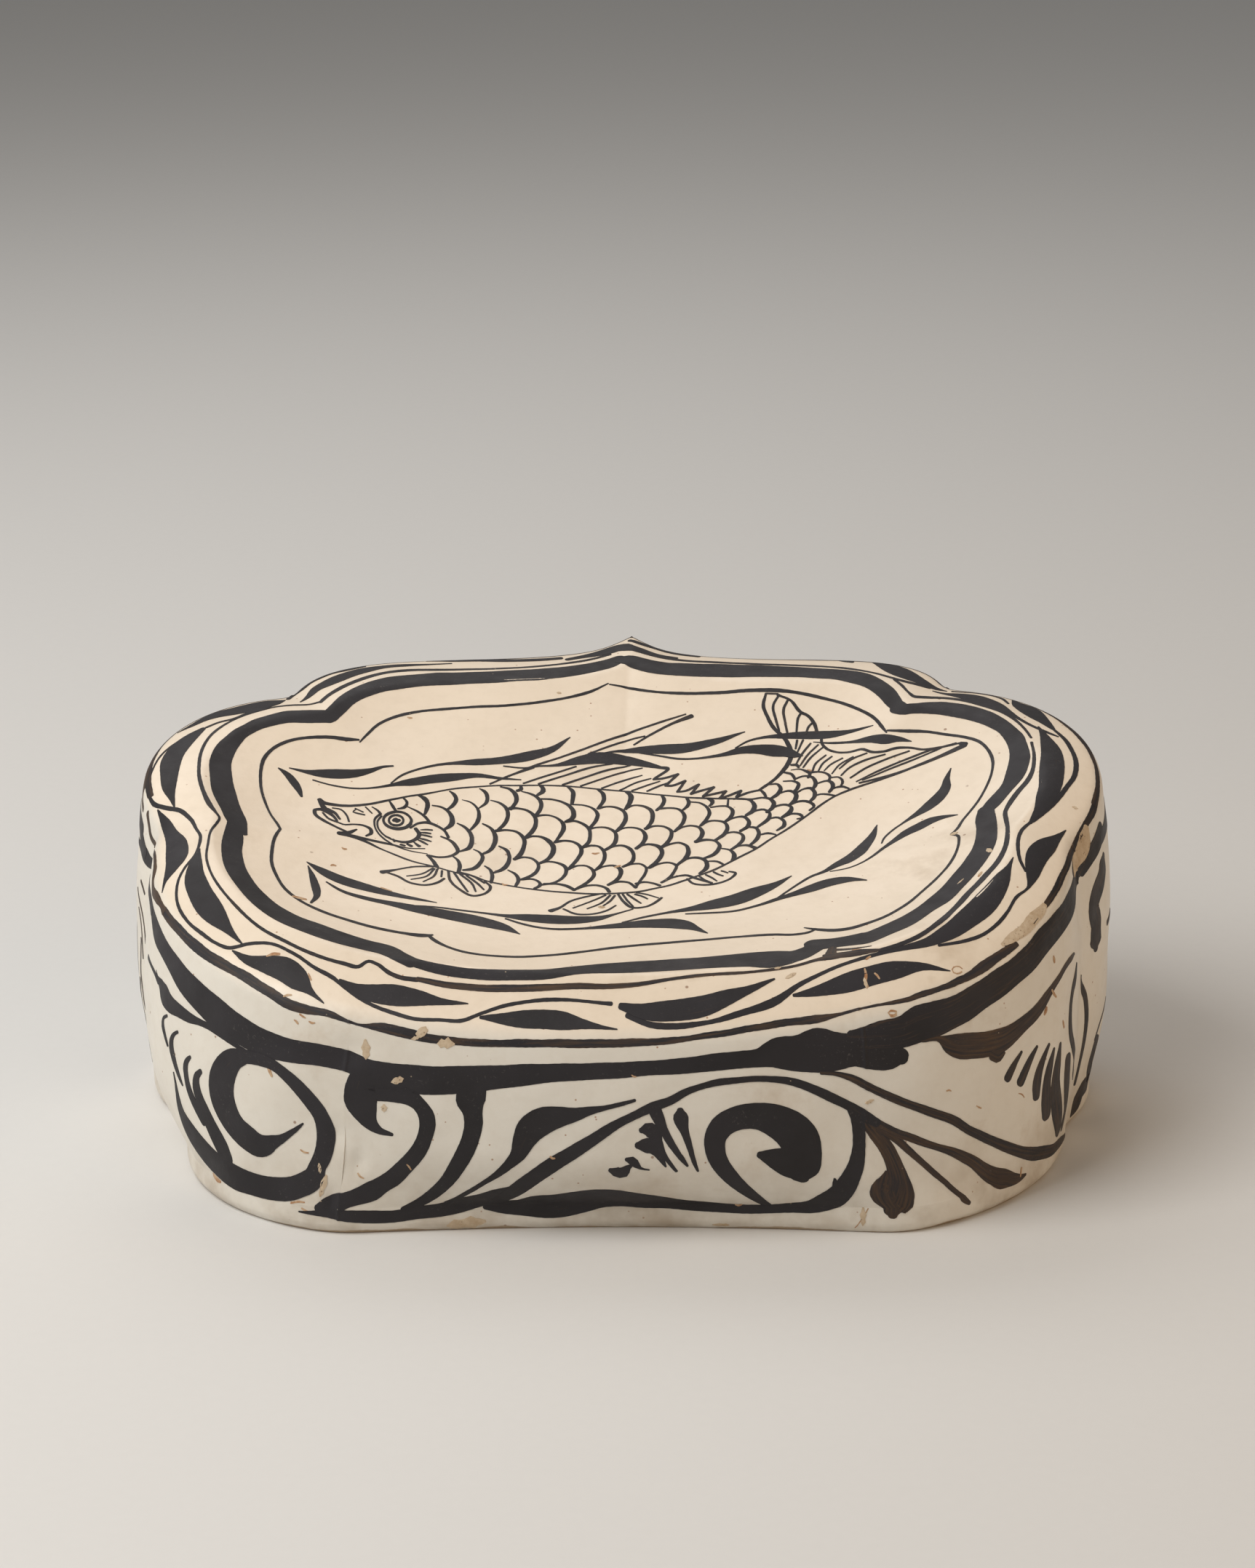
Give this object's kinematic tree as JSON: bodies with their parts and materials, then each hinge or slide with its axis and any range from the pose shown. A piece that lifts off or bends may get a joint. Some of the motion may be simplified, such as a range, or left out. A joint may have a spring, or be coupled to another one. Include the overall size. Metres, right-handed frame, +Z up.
{
  "type": "ceramic pillow",
  "caption": "Lobed, hollow slab-built stoneware pillow with a dished, sloping headrest, a pointed back, creased walls and a flat base; it rests on a bed and carries a sleeper's head.",
  "frame": {"origin": "on the table under the middle of the plan, the box of the whole pillow seen from above", "axes": "+X along the length, to the right seen from the front; +Y from the low front to the high, pointed back; +Z up"},
  "size_m": [0.3226, 0.2368, 0.1278],
  "materials": {
    "headrest": "satin clear glaze over cream slip",
    "wall": "satin clear glaze over ivory slip",
    "ink": "iron-black brushwork under satin clear glaze",
    "base": "bare fired buff stoneware",
    "coil": "bare fired buff stoneware"
  },
  "bodies": {
    "root": {"headrest_slab": "headrest", "front_wall": "wall", "front_left_wall": "wall", "front_right_wall": "wall", "back_left_wall": "wall", "back_right_wall": "wall", "back_wall": "wall", "base_slab": "base", "base_coil": "coil", "seam_coils": "coil"}
  },
  "joints": []
}
